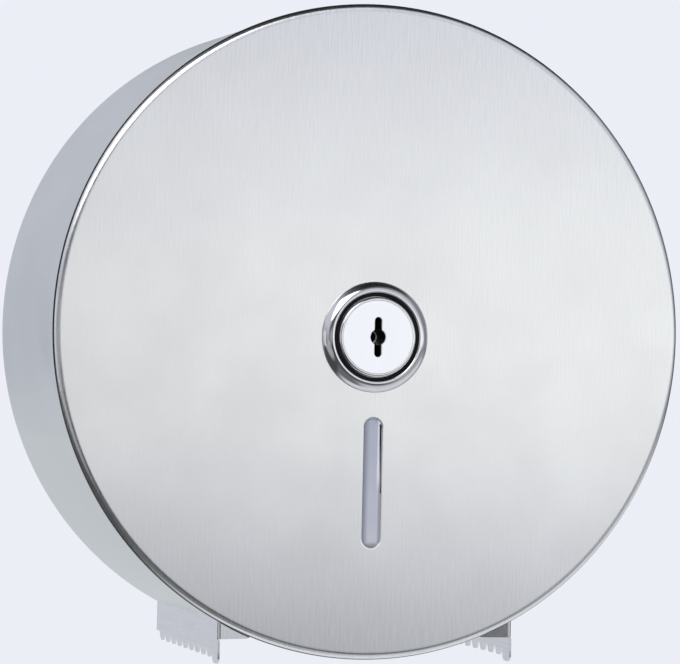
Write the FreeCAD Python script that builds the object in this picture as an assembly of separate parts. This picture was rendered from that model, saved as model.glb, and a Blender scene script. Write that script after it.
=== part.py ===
"""Jumbo toilet roll dispenser: a round sheet steel drum that hangs on a wall.

Units are millimetres. The origin is on the wall plane, on the axis of the drum.
+X is to the right, +Z is up, and the front of the dispenser faces -Y.
The cover lifts off towards -Y, the key turns about Y, and the roll hub spins about Y.
"""
import FreeCAD, Part
import math
import os
from FreeCAD import Vector

# Driving dimensions of the drum
drum_radius = 155.0
drum_depth = 120.0
wall_gap = 1.0
lock_drop = 2.5

# Cover: pressed front disc and rolled band
cover_sheet = 0.8
rim_bend_radius = 2.0
rim_lip_depth = 3.0

# View slot, its window and the frame that clamps the window
slot_width = 9.0
slot_top_drop = 40.0
slot_rim_margin = 53.0
window_margin = 4.0
window_thickness = 1.5
window_boss_gap = 0.45
window_boss_recess = 0.4
frame_sheet = 1.0
sight_margin = 1.0
frame_side_margin = 7.0
frame_end_margin = 15.0
stud_end_margin = 8.5
stud_radius = 1.5
stud_length = 7.0
stud_foot_radius = 2.4
stud_foot_height = 0.7
window_nut_across = 5.5
window_nut_height = 2.4

# Tear bars
exit_width = 146.0
bar_sheet = 1.0
bar_back_gap = 3.0
blade_height = 14.8
tooth_height = 4.1
tooth_pitch = 11.0
tooth_tip_share = 0.42
tooth_root_share = 0.20
horn_height = 6.3
horn_width = 10.0
bar_tab_width = 17.0
bar_tab_drop = 9.5
bar_tab_lean_degrees = 8.0
bar_tab_height = 18.0
bar_leg_width = 11.0

# Back plate
plate_sheet = 1.5
plate_bend_radius = 3.0
plate_flange_depth = 8.0
plate_side_clearance = 0.6
plate_chord_clearance = 7.4
bead_rim_margin = 32.8
bead_width = 14.0
bead_height = 2.5
bead_slope_degrees = 45.0
wall_hole_radius = 3.25
wall_hole_spacing_x = 140.0
wall_hole_spacing_z = 120.0

# Stop tabs inside the band
stop_tab_angles = (35.0, 145.0, 270.0)
stop_tab_span = 9.0
stop_tab_sheet = 1.0
stop_tab_depth = 10.0
stop_tab_height = 8.0
stop_tab_gap = 0.3

# Spindle on the back plate
spindle_radius = 14.0
spindle_wall = 2.0
spindle_lock_gap = 1.5
spindle_flange_radius = 36.0
spindle_flange_sheet = 2.0
weld_clearance = 0.05
rivet_circle_radius = 31.0
rivet_count = 4
rivet_radius = 2.0
rivet_head_radius = 4.0
rivet_head_height = 1.0
catch_thickness = 3.0
catch_chamfer = 0.6
ring_groove_depth = 0.7
ring_groove_setback = 1.0
hub_ring_thickness = 1.0
hub_ring_height = 3.2
ring_gap_degrees = 32.0

# Roll hub
hub_radius = 21.0
hub_wall = 2.5
hub_flange_radius = 28.0
hub_flange_thickness = 2.2
hub_nose_chamfer = 1.6
hub_groove_count = 4
hub_groove_width = 3.0
hub_groove_depth = 0.6
bush_length = 10.0
bush_running_clearance = 0.06
washer_thickness = 1.0
washer_radius = 20.0
washer_hole_clearance = 0.4
hub_end_play = 0.3

# Lock
collar_radius = 26.7
collar_height = 5.0
collar_opening_radius = 21.2
collar_foot_thickness = 1.0
collar_crown_width = 1.6
collar_lip_drop = 0.6
housing_radius = 15.0
housing_flange_thickness = 1.0
housing_length = 22.0
disc_hole_clearance = 0.2
seal_gap = 0.3
seal_recess = 2.0
cap_radius = 18.9
cap_wall = 1.5
cap_rim_round = 1.3
head_clearance = 0.3
core_radius = 12.0
core_running_clearance = 0.06
core_tail_length = 2.5
core_stem_radius = 3.6
keyhole_radius = 3.8
keyhole_height = 18.8
keyhole_width = 3.4
keyhole_depth = 15.0
ward_side_gap = 0.1
ward_wall = 0.8
ward_height = 2.0
lock_washer_radius = 18.5
lock_washer_thickness = 1.0
lock_nut_across = 34.0
lock_nut_height = 5.0
core_ring_gap = 0.4
core_ring_thickness = 1.0
core_ring_height = 2.6
core_groove_depth = 1.2

# Locking bar and the slot that it passes
bar_length = 19.0
bar_width = 9.0
bar_thickness = 3.0
bar_slot_clearance = 0.7
bar_lock_gap = 1.5
bar_square = 4.6
screw_head_radius = 3.4
screw_head_height = 2.0
screw_radius = 1.5
screw_length = 6.0
drive_slot_width = 1.0

# One overrun for every cut
overrun = 2.0

# Places that follow from the sizes above
along_y = Vector(0, 1, 0)
full_turn = 360.0
hexagon_sides = 6
face_y = -drum_depth
disc_back_y = face_y + cover_sheet
lip_back_y = face_y + rim_lip_depth
band_outer_radius = drum_radius - cover_sheet
band_inner_radius = band_outer_radius - cover_sheet
plate_radius = band_inner_radius - plate_side_clearance
lock_z = -lock_drop
slot_top_z = -slot_top_drop
slot_bottom_z = -drum_radius + slot_rim_margin
bar_outer_x = exit_width / 2
bar_inner_x = bar_outer_x - bar_sheet
bar_joint_z = -math.sqrt(band_inner_radius**2 - bar_inner_x**2)
plate_chord_z = bar_joint_z + plate_chord_clearance
bead_outer_radius = plate_radius - bead_rim_margin
bead_inner_radius = bead_outer_radius - bead_width
housing_back_y = face_y + housing_length
core_tail_y = housing_back_y + core_tail_length
catch_front_y = core_tail_y + spindle_lock_gap
tube_front_y = catch_front_y + catch_thickness


def rod(radius, front_y, back_y, x=0, z=0):
    """Round bar along Y between two depths."""
    return Part.makeCylinder(radius, back_y - front_y, Vector(x, front_y, z), along_y)


def pipe(outer_radius, inner_radius, front_y, back_y, x=0, z=0):
    """Round tube along Y between two depths."""
    bore = rod(inner_radius, front_y - overrun, back_y + overrun, x, z)
    return rod(outer_radius, front_y, back_y, x, z).cut(bore)


def block(x_pair, y_pair, z_pair):
    """Box between two places on each axis."""
    low = Vector(min(x_pair), min(y_pair), min(z_pair))
    high = Vector(max(x_pair), max(y_pair), max(z_pair))
    return Part.makeBox(high.x - low.x, high.y - low.y, high.z - low.z, low)


def round_slot(width, top_z, bottom_z, front_y, back_y):
    """Upright slot with round ends, centred on the YZ plane."""
    radius = width / 2
    middle = block((-radius, radius), (front_y, back_y), (bottom_z + radius, top_z - radius))
    upper = rod(radius, front_y, back_y, z=top_z - radius)
    lower = rod(radius, front_y, back_y, z=bottom_z + radius)
    return middle.fuse(upper).fuse(lower).removeSplitter()


def hexagon(across, front_y, back_y, x=0, z=0):
    """Hexagonal prism along Y with a flat at the top."""
    side_angle = 2 * math.pi / hexagon_sides
    corner_radius = across / 2 / math.cos(side_angle / 2)
    corners = []
    for index in range(hexagon_sides):
        angle = side_angle * index
        corner_x = x + corner_radius * math.cos(angle)
        corners.append(Vector(corner_x, front_y, z + corner_radius * math.sin(angle)))
    wire = Part.makePolygon(corners + corners[:1])
    return Part.Face(wire).extrude(Vector(0, back_y - front_y, 0))


def arc_between(centre, start, end):
    """Short arc about a centre, as an edge."""
    radius = (start - centre).Length
    middle = (start - centre) + (end - centre)
    middle.normalize()
    return Part.Arc(start, centre + middle * radius, end).toShape()


def turned(outline, z=0):
    """Solid turned about Y from places (radius, depth).

    A place with two more values is the end of an arc about that centre.
    """
    points = [Vector(place[0], place[1], 0) for place in outline]
    edges = []
    for index, place in enumerate(outline):
        before = points[index - 1]
        if len(place) > 2:
            edges.append(arc_between(Vector(place[2], place[3], 0), before, points[index]))
        else:
            edges.append(Part.LineSegment(before, points[index]).toShape())
    face = Part.Face(Part.Wire(Part.__sortEdges__(edges)))
    solid = face.revolve(Vector(0, 0, 0), along_y, full_turn)
    solid.translate(Vector(0, 0, z))
    return solid


def split_ring(outer_radius, inner_radius, front_y, thickness):
    """Retaining ring about the lock axis, open at the bottom over a small angle."""
    ring = pipe(outer_radius, inner_radius, front_y, front_y + thickness, z=lock_z)
    half_gap = outer_radius * math.tan(math.radians(ring_gap_degrees) / 2)
    mouth = block(
        (-half_gap, half_gap),
        (front_y - overrun, front_y + thickness + overrun),
        (lock_z - outer_radius - overrun, lock_z - inner_radius / 2),
    )
    return ring.cut(mouth)


# Back plate: a flat disc with a pressed bead, a turned rim and a straight lower edge


def back_plate():
    slope = bead_height / math.tan(math.radians(bead_slope_degrees))
    shift = plate_sheet * math.tan(math.radians(bead_slope_degrees) / 2)
    rim_y = -plate_flange_depth
    bend_y = -plate_bend_radius
    bend_r = plate_radius - plate_bend_radius
    inner_r = plate_radius - plate_sheet
    outline = [
        (0, 0),
        (bead_inner_radius, 0),
        (bead_inner_radius + slope, -bead_height),
        (bead_outer_radius - slope, -bead_height),
        (bead_outer_radius, 0),
        (bend_r, 0),
        (plate_radius, bend_y, bend_r, bend_y),
        (plate_radius, rim_y),
        (inner_r, rim_y),
        (inner_r, bend_y),
        (bend_r, -plate_sheet, bend_r, bend_y),
        (bead_outer_radius + shift, -plate_sheet),
        (bead_outer_radius - slope + shift, -bead_height - plate_sheet),
        (bead_inner_radius + slope - shift, -bead_height - plate_sheet),
        (bead_inner_radius - shift, -plate_sheet),
        (0, -plate_sheet),
    ]
    plate = turned(outline)
    below = block(
        (-plate_radius - overrun, plate_radius + overrun),
        (rim_y - overrun, overrun),
        (-plate_radius - overrun, plate_chord_z),
    )
    plate = plate.cut(below)
    for x in (-wall_hole_spacing_x / 2, wall_hole_spacing_x / 2):
        for z in (-wall_hole_spacing_z / 2, wall_hole_spacing_z / 2):
            plate = plate.cut(rod(wall_hole_radius, -plate_sheet - overrun, overrun, x, z))
    return plate.cut(rivet_shanks(-plate_sheet - overrun, overrun))


def rivet_places():
    """Centres of the spindle rivets, on the diagonals about the lock axis."""
    places = []
    for index in range(rivet_count):
        angle = 2 * math.pi * (index + 0.5) / rivet_count
        x = rivet_circle_radius * math.cos(angle)
        places.append((x, lock_z + rivet_circle_radius * math.sin(angle)))
    return places


def rivet_shanks(front_y, back_y):
    shanks = [rod(rivet_radius, front_y, back_y, x, z) for x, z in rivet_places()]
    return Part.makeCompound(shanks)


# Spindle: flange, tube, end catch and the rivets that hold the flange

flange_front_y = -plate_sheet - spindle_flange_sheet
hub_ring_front_y = tube_front_y + ring_groove_setback


def spindle_flange():
    hole = spindle_radius + weld_clearance
    flange = pipe(spindle_flange_radius, hole, flange_front_y, -plate_sheet, z=lock_z)
    return flange.cut(rivet_shanks(flange_front_y - overrun, overrun))


def spindle_rivets():
    rivets = []
    for x, z in rivet_places():
        shank = rod(rivet_radius, flange_front_y, 0, x, z)
        head_front_y = flange_front_y - rivet_head_height
        head = Part.makeCone(
            rivet_head_radius / 2,
            rivet_head_radius,
            rivet_head_height,
            Vector(x, head_front_y, z),
            along_y,
        )
        rivets.append(shank.fuse(head))
    return Part.makeCompound(rivets)


def spindle_tube():
    tube = pipe(spindle_radius, spindle_radius - spindle_wall, tube_front_y, -plate_sheet, z=lock_z)
    groove = pipe(
        spindle_radius + overrun,
        spindle_radius - ring_groove_depth,
        hub_ring_front_y,
        hub_ring_front_y + hub_ring_thickness,
        z=lock_z,
    )
    return tube.cut(groove)


def spindle_catch():
    catch = turned(
        [
            (0, catch_front_y),
            (spindle_radius - catch_chamfer, catch_front_y),
            (spindle_radius, catch_front_y + catch_chamfer),
            (spindle_radius, tube_front_y),
            (0, tube_front_y),
        ],
        lock_z,
    )
    half_width = bar_width / 2 + bar_slot_clearance
    half_length = bar_length / 2 + bar_slot_clearance
    slot = block(
        (-half_width, half_width),
        (catch_front_y - overrun, tube_front_y + overrun),
        (lock_z - half_length, lock_z + half_length),
    )
    return catch.cut(slot)


# Roll hub: moulded mandrel on two bushes, between a washer and a retaining ring

washer_front_y = flange_front_y - washer_thickness
hub_back_y = washer_front_y - hub_end_play
hub_front_y = hub_ring_front_y + hub_ring_thickness + hub_end_play
hub_bore_radius = hub_radius - hub_wall
bush_bore_radius = spindle_radius + bush_running_clearance


def hub_thrust_washer():
    hole = spindle_radius + washer_hole_clearance
    return pipe(washer_radius, hole, washer_front_y, flange_front_y, z=lock_z)


def hub_retaining_ring():
    inner = spindle_radius - ring_groove_depth
    return split_ring(inner + hub_ring_height, inner, hub_ring_front_y, hub_ring_thickness)


def roll_hub():
    hub = turned(
        [
            (hub_bore_radius, hub_front_y),
            (hub_radius - hub_nose_chamfer, hub_front_y),
            (hub_radius, hub_front_y + hub_nose_chamfer),
            (hub_radius, hub_back_y - hub_flange_thickness),
            (hub_flange_radius, hub_back_y - hub_flange_thickness),
            (hub_flange_radius, hub_back_y),
            (hub_bore_radius, hub_back_y),
        ],
        lock_z,
    )
    for index in range(hub_groove_count):
        groove = block(
            (-hub_groove_width / 2, hub_groove_width / 2),
            (hub_front_y - overrun, hub_back_y - hub_flange_thickness),
            (hub_radius - hub_groove_depth, hub_radius + overrun),
        )
        groove.rotate(Vector(0, 0, 0), along_y, full_turn * index / hub_groove_count)
        groove.translate(Vector(0, 0, lock_z))
        hub = hub.cut(groove)
    return hub


def hub_rear_bush():
    front_y = hub_back_y - bush_length
    return pipe(hub_bore_radius, bush_bore_radius, front_y, hub_back_y, z=lock_z)


def hub_front_bush():
    back_y = hub_front_y + bush_length
    return pipe(hub_bore_radius, bush_bore_radius, hub_front_y, back_y, z=lock_z)


# Cover: front disc with a rounded rim and a short lip, and the band inside that lip


def front_disc():
    bend_y = face_y + rim_bend_radius
    bend_r = drum_radius - rim_bend_radius
    disc = turned(
        [
            (0, face_y),
            (bend_r, face_y),
            (drum_radius, bend_y, bend_r, bend_y),
            (drum_radius, lip_back_y),
            (band_outer_radius, lip_back_y),
            (band_outer_radius, bend_y),
            (bend_r, disc_back_y, bend_r, bend_y),
            (0, disc_back_y),
        ]
    )
    lock_hole_radius = housing_radius + disc_hole_clearance
    lock_hole = rod(lock_hole_radius, face_y - overrun, disc_back_y + overrun, z=lock_z)
    view_slot = round_slot(
        slot_width, slot_top_z, slot_bottom_z, face_y - overrun, disc_back_y + overrun
    )
    return disc.cut(lock_hole).cut(view_slot)


def side_band():
    front_y = face_y + rim_bend_radius
    band = pipe(band_outer_radius, band_inner_radius, front_y, -wall_gap)
    mouth = block(
        (-bar_outer_x, bar_outer_x),
        (front_y - overrun, overrun),
        (-drum_radius - overrun, 0),
    )
    return band.cut(mouth)


def cover_stop_tabs():
    """Angles welded inside the band, which meet the front edge of the plate's rim."""
    leg_back_y = -plate_flange_depth - stop_tab_gap
    leg_front_y = leg_back_y - stop_tab_sheet
    foot_front_y = leg_front_y - stop_tab_depth
    foot = pipe(
        band_inner_radius, band_inner_radius - stop_tab_sheet, foot_front_y, leg_back_y
    )
    leg = pipe(
        band_inner_radius, band_inner_radius - stop_tab_height, leg_front_y, leg_back_y
    )
    ring = foot.fuse(leg)
    half_width = band_inner_radius * math.tan(math.radians(stop_tab_span) / 2)
    tabs = []
    for angle in stop_tab_angles:
        window = block(
            (0, band_inner_radius + overrun),
            (foot_front_y - overrun, overrun),
            (-half_width, half_width),
        )
        window.rotate(Vector(0, 0, 0), along_y, angle)
        tabs.append(ring.common(window).removeSplitter())
    return Part.makeCompound(tabs)


# Tear bars: a toothed blade, a leg along the band and a tab behind the front disc

bar_front_y = lip_back_y
bar_back_y = -bar_back_gap
blade_top_z = -math.sqrt((band_inner_radius - bar_sheet) ** 2 - bar_inner_x**2)
root_z = bar_joint_z - blade_height
tip_z = root_z - tooth_height
horn_z = root_z - horn_height
tab_bottom_z = bar_joint_z - bar_tab_drop


def blade_outline():
    """Blade seen from the side as (depth, height): straight top, toothed lower edge."""
    tip_half = tooth_pitch * tooth_tip_share / 2
    root_half = tooth_pitch * tooth_root_share / 2
    horn_back_y = bar_front_y + horn_width
    outline = [(bar_back_y, blade_top_z), (bar_front_y, blade_top_z), (bar_front_y, horn_z)]
    outline.append((horn_back_y - root_half, horn_z))
    outline.append((horn_back_y, root_z))
    tooth_count = int((bar_back_y - horn_back_y) / tooth_pitch)
    for index in range(tooth_count):
        root_y = horn_back_y + tooth_pitch * index
        tip_y = root_y + tooth_pitch / 2
        outline.append((root_y + root_half, root_z))
        outline.append((tip_y - tip_half, tip_z))
        outline.append((tip_y + tip_half, tip_z))
        outline.append((root_y + tooth_pitch - root_half, root_z))
    outline.append((bar_back_y, root_z))
    return outline


def tear_bar(side):
    """One bar; side is -1 for the left one and +1 for the right one."""
    corners = [Vector(bar_inner_x, y, z) for y, z in blade_outline()]
    blade = Part.Face(Part.makePolygon(corners + corners[:1])).extrude(Vector(bar_sheet, 0, 0))
    leg_front_y = bar_front_y + bar_sheet
    leg_back_y = -plate_flange_depth - stop_tab_gap - bar_back_gap
    leg = pipe(band_inner_radius, band_inner_radius - bar_sheet, leg_front_y, leg_back_y)
    leg_zone = block(
        (bar_inner_x, bar_outer_x + bar_leg_width),
        (leg_front_y, leg_back_y),
        (-drum_radius - overrun, 0),
    )
    tab = block(
        (bar_outer_x - bar_tab_width, bar_outer_x),
        (bar_front_y, bar_front_y + bar_sheet),
        (tab_bottom_z, tab_bottom_z + bar_tab_height),
    )
    fold_place = Vector(bar_outer_x, bar_front_y + bar_sheet, tab_bottom_z)
    tab.rotate(fold_place, Vector(0, 0, 1), -bar_tab_lean_degrees)
    bar = blade.fuse(leg.common(leg_zone)).fuse(tab).removeSplitter()
    if side < 0:
        bar = bar.mirror(Vector(0, 0, 0), Vector(1, 0, 0))
    return bar


def left_tear_bar():
    return tear_bar(-1)


def right_tear_bar():
    return tear_bar(1)


# View window: a strip behind the slot with a raised middle, clamped by a frame on two weld studs

window_back_y = disc_back_y + window_thickness
frame_back_y = window_back_y + frame_sheet
stud_places = (slot_top_z + stud_end_margin, slot_bottom_z - stud_end_margin)


def view_window():
    half_width = slot_width / 2 + window_margin
    strip = block(
        (-half_width, half_width),
        (disc_back_y, window_back_y),
        (slot_bottom_z - window_margin, slot_top_z + window_margin),
    )
    boss = round_slot(
        slot_width - 2 * window_boss_gap,
        slot_top_z - window_boss_gap,
        slot_bottom_z + window_boss_gap,
        face_y + window_boss_recess,
        window_back_y,
    )
    return strip.fuse(boss).removeSplitter()


def window_frame():
    half_width = slot_width / 2 + frame_side_margin
    frame = block(
        (-half_width, half_width),
        (window_back_y, frame_back_y),
        (slot_bottom_z - frame_end_margin, slot_top_z + frame_end_margin),
    )
    sight = round_slot(
        slot_width + 2 * sight_margin,
        slot_top_z + sight_margin,
        slot_bottom_z - sight_margin,
        window_back_y - overrun,
        frame_back_y + overrun,
    )
    frame = frame.cut(sight)
    for z in stud_places:
        hole_radius = stud_radius + disc_hole_clearance
        frame = frame.cut(rod(hole_radius, window_back_y - overrun, frame_back_y + overrun, z=z))
    return frame


def window_studs():
    studs = []
    for z in stud_places:
        foot = rod(stud_foot_radius, disc_back_y, disc_back_y + stud_foot_height, z=z)
        studs.append(foot.fuse(rod(stud_radius, disc_back_y, disc_back_y + stud_length, z=z)))
    return Part.makeCompound(studs)


def window_nuts():
    nuts = []
    nut_back_y = frame_back_y + window_nut_height
    for z in stud_places:
        nut = hexagon(window_nut_across, frame_back_y, nut_back_y, z=z)
        bore = rod(stud_radius + weld_clearance, frame_back_y - overrun, nut_back_y + overrun, z=z)
        nuts.append(nut.cut(bore))
    return Part.makeCompound(nuts)


# Lock: collar, seal and threaded housing on the cover

collar_front_y = face_y - collar_height
housing_front_y = face_y - collar_foot_thickness - housing_flange_thickness
washer_back_y = disc_back_y + lock_washer_thickness


def lock_collar():
    foot_y = face_y - collar_foot_thickness
    crown_inner_r = collar_opening_radius + collar_lip_drop
    crown_outer_r = crown_inner_r + collar_crown_width
    edge_y = collar_front_y + collar_radius - crown_outer_r
    inner_r = housing_radius + disc_hole_clearance
    return turned(
        [
            (inner_r, face_y),
            (collar_radius, face_y),
            (collar_radius, edge_y),
            (crown_outer_r, collar_front_y, crown_outer_r, edge_y),
            (crown_inner_r, collar_front_y),
            (collar_opening_radius, collar_front_y + collar_lip_drop),
            (collar_opening_radius, foot_y),
            (inner_r, foot_y),
        ],
        lock_z,
    )


def lock_seal_ring():
    outer = collar_opening_radius - weld_clearance
    inner = cap_radius + seal_gap
    return pipe(outer, inner, collar_front_y + seal_recess, housing_front_y, z=lock_z)


def lock_housing():
    flange_radius = collar_opening_radius - weld_clearance
    bore_radius = core_radius + core_running_clearance
    flange_back_y = housing_front_y + housing_flange_thickness
    flange = rod(flange_radius, housing_front_y, flange_back_y, z=lock_z)
    barrel = rod(housing_radius, housing_front_y, housing_back_y, z=lock_z)
    bore = rod(bore_radius, housing_front_y - overrun, housing_back_y + overrun, z=lock_z)
    return flange.fuse(barrel).cut(bore)


def lock_washer():
    hole = housing_radius + disc_hole_clearance
    return pipe(lock_washer_radius, hole, disc_back_y, washer_back_y, z=lock_z)


def lock_nut():
    back_y = washer_back_y + lock_nut_height
    nut = hexagon(lock_nut_across, washer_back_y, back_y, z=lock_z)
    bore = rod(housing_radius + weld_clearance, washer_back_y - overrun, back_y + overrun, z=lock_z)
    return nut.cut(bore)


# Lock: face cap, turning core, its ward and ring, and the bar that grips behind the catch

cap_front_y = collar_front_y
cap_back_y = cap_front_y + cap_wall
head_back_y = housing_front_y - head_clearance
keyhole_back_y = cap_front_y + keyhole_depth
core_ring_front_y = housing_back_y + core_ring_gap
locking_bar_front_y = tube_front_y + bar_lock_gap
locking_bar_back_y = locking_bar_front_y + bar_thickness


def keyhole_cut(back_y):
    """Round middle and two wings, cut from in front of the lock to a depth."""
    front_y = cap_front_y - overrun
    half_height = keyhole_height / 2
    wings = round_slot(keyhole_width, lock_z + half_height, lock_z - half_height, front_y, back_y)
    return wings.fuse(rod(keyhole_radius, front_y, back_y, z=lock_z))


def lock_face_cap():
    rim_r = cap_radius - cap_rim_round
    rim_y = cap_front_y + cap_rim_round
    recess_r = cap_radius - cap_wall
    cap = turned(
        [
            (0, cap_front_y),
            (rim_r, cap_front_y),
            (cap_radius, rim_y, rim_r, rim_y),
            (cap_radius, head_back_y),
            (recess_r, head_back_y),
            (recess_r, cap_back_y),
            (0, cap_back_y),
        ],
        lock_z,
    )
    return cap.cut(keyhole_cut(head_back_y))


def lock_core():
    head_radius = cap_radius - cap_wall - weld_clearance
    groove_r = core_radius - core_groove_depth
    groove_back_y = core_ring_front_y + core_ring_thickness
    core = turned(
        [
            (0, cap_back_y),
            (head_radius, cap_back_y),
            (head_radius, head_back_y),
            (core_radius, head_back_y),
            (core_radius, core_ring_front_y),
            (groove_r, core_ring_front_y),
            (groove_r, groove_back_y),
            (core_radius, groove_back_y),
            (core_radius, core_tail_y),
            (core_stem_radius, core_tail_y),
            (core_stem_radius, locking_bar_front_y),
            (0, locking_bar_front_y),
        ],
        lock_z,
    )
    half = bar_square / 2
    square = block(
        (-half, half),
        (locking_bar_front_y, locking_bar_back_y),
        (lock_z - half, lock_z + half),
    )
    screw_hole = rod(
        screw_radius, locking_bar_back_y - screw_length, locking_bar_back_y + overrun, z=lock_z
    )
    return core.fuse(square).cut(keyhole_cut(keyhole_back_y)).cut(screw_hole)


def keyhole_ward_ring():
    """Steel ring at the bottom of the keyhole, round which the key's hollow shank goes."""
    outer = keyhole_radius - ward_side_gap
    return pipe(outer, outer - ward_wall, keyhole_back_y - ward_height, keyhole_back_y, z=lock_z)


def core_retaining_ring():
    inner = core_radius - core_groove_depth
    return split_ring(inner + core_ring_height, inner, core_ring_front_y, core_ring_thickness)


def locking_bar():
    half = bar_square / 2 + weld_clearance
    bar = block(
        (-bar_width / 2, bar_width / 2),
        (locking_bar_front_y, locking_bar_back_y),
        (lock_z - bar_length / 2, lock_z + bar_length / 2),
    )
    hole = block(
        (-half, half),
        (locking_bar_front_y - overrun, locking_bar_back_y + overrun),
        (lock_z - half, lock_z + half),
    )
    return bar.cut(hole)


def locking_bar_screw():
    head = rod(
        screw_head_radius, locking_bar_back_y, locking_bar_back_y + screw_head_height, z=lock_z
    )
    shank = rod(screw_radius, locking_bar_back_y - screw_length, locking_bar_back_y, z=lock_z)
    slot_half = drive_slot_width / 2
    drive = block(
        (-screw_head_radius - overrun, screw_head_radius + overrun),
        (locking_bar_back_y + screw_head_height / 2, locking_bar_back_y + screw_head_height + overrun),
        (lock_z - slot_half, lock_z + slot_half),
    )
    return head.fuse(shank).cut(drive)


sub_parts = {
    "back_plate": back_plate,
    "spindle_flange": spindle_flange,
    "spindle_rivets": spindle_rivets,
    "spindle_tube": spindle_tube,
    "spindle_catch": spindle_catch,
    "hub_thrust_washer": hub_thrust_washer,
    "hub_retaining_ring": hub_retaining_ring,
    "roll_hub": roll_hub,
    "hub_rear_bush": hub_rear_bush,
    "hub_front_bush": hub_front_bush,
    "front_disc": front_disc,
    "side_band": side_band,
    "cover_stop_tabs": cover_stop_tabs,
    "left_tear_bar": left_tear_bar,
    "right_tear_bar": right_tear_bar,
    "view_window": view_window,
    "window_frame": window_frame,
    "window_studs": window_studs,
    "window_nuts": window_nuts,
    "lock_collar": lock_collar,
    "lock_seal_ring": lock_seal_ring,
    "lock_housing": lock_housing,
    "lock_washer": lock_washer,
    "lock_nut": lock_nut,
    "lock_face_cap": lock_face_cap,
    "lock_core": lock_core,
    "keyhole_ward_ring": keyhole_ward_ring,
    "core_retaining_ring": core_retaining_ring,
    "locking_bar": locking_bar,
    "locking_bar_screw": locking_bar_screw,
}

os.makedirs("parts", exist_ok=True)
for node, make in sub_parts.items():
    shape = make()
    shape.exportStep("parts/" + node + ".step")
    box = shape.BoundBox
    print(
        node,
        len(shape.Solids),
        "valid" if shape.isValid() else "NOT VALID",
        round(shape.Volume, 1),
        [round(value, 2) for value in (box.XMin, box.YMin, box.ZMin, box.XMax, box.YMax, box.ZMax)],
    )
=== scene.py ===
"""Looks of a jumbo toilet roll dispenser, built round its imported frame.

Metres. The wall plane is y = 0, the front faces -Y and +Z is up.
"""
import math

import bmesh
import bpy
from mathutils import Matrix, Vector
from mathutils.geometry import tessellate_polygon


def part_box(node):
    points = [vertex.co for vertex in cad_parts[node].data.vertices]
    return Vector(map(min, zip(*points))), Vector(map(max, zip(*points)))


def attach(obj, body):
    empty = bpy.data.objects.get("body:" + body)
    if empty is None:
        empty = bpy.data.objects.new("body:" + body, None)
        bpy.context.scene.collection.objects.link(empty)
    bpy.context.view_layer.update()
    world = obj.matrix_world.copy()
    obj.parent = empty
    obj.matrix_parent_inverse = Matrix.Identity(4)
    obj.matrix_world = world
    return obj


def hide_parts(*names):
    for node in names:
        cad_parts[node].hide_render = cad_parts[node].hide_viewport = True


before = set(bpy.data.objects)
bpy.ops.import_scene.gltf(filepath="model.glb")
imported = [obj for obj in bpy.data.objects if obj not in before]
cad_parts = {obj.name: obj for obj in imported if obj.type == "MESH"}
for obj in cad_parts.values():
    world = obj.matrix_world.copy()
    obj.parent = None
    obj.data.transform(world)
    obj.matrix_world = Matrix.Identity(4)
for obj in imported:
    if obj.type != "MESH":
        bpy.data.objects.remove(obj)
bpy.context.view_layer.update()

MM = 0.001
FULL_TURN = 2 * math.pi
QUARTER = math.pi / 2
HEX_SIDE = math.radians(60.0)

# Segments of a full turn
BIG_ROUND = 256
SMALL_ROUND = 128

# Places and sizes; boxes are read from the frame

disc_low, disc_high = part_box("front_disc")
_, band_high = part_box("side_band")
seal_low, seal_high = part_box("lock_seal_ring")
cap_low, cap_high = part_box("lock_face_cap")
ward_low, ward_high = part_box("keyhole_ward_ring")
window_low, window_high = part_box("view_window")
bar_low, bar_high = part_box("right_tear_bar")

drum_radius = disc_high.x
face_y = disc_low.y
sheet = 0.8 * MM
lock_z = -2.5 * MM
lock_hole_r = 15.2 * MM
window_margin = 4.0 * MM
blade_outer_x = 73.0 * MM


# Outlines in the XZ plane, each a function of how far it is grown


def arc(middle_x, middle_z, reach, start, turn, count):
    """Places along an arc, its angles taken from +Z towards +X."""
    angles = [start + turn * index / count for index in range(count + 1)]
    return [(middle_x + reach * math.sin(a), middle_z + reach * math.cos(a)) for a in angles]


def circle(radius, centre_z=0.0, count=BIG_ROUND):
    return lambda extra: arc(0.0, centre_z, radius + extra, 0.0, FULL_TURN, count)[:-1]


def stadium(width, top_z, bottom_z, top_x=0.0, bottom_x=0.0):
    """Upright slot with round ends, whose two ends may stand a little to one side."""
    radius, count = width / 2, 24

    def grown(extra):
        reach = radius + extra
        top = arc(top_x, top_z - radius, reach, -QUARTER, math.pi, count)
        return top + arc(bottom_x, bottom_z + radius, reach, QUARTER, math.pi, count)

    return grown


def keyhole(middle_radius, width, height, centre_z):
    """Round middle with a wing above and below."""
    count = 16

    def grown(extra):
        half = width / 2 + extra
        middle = middle_radius + extra
        wing_z = height / 2 - width / 2
        meet = math.asin(half / middle)
        arcs = (
            (half, wing_z, -QUARTER, math.pi),
            (middle, 0.0, meet, math.pi - 2 * meet),
            (half, -wing_z, QUARTER, math.pi),
            (middle, 0.0, math.pi + meet, math.pi - 2 * meet),
        )
        points = []
        for reach, rise, start, turn in arcs:
            points += arc(0.0, centre_z + rise, reach, start, turn, count)
        return points

    return grown


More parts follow.
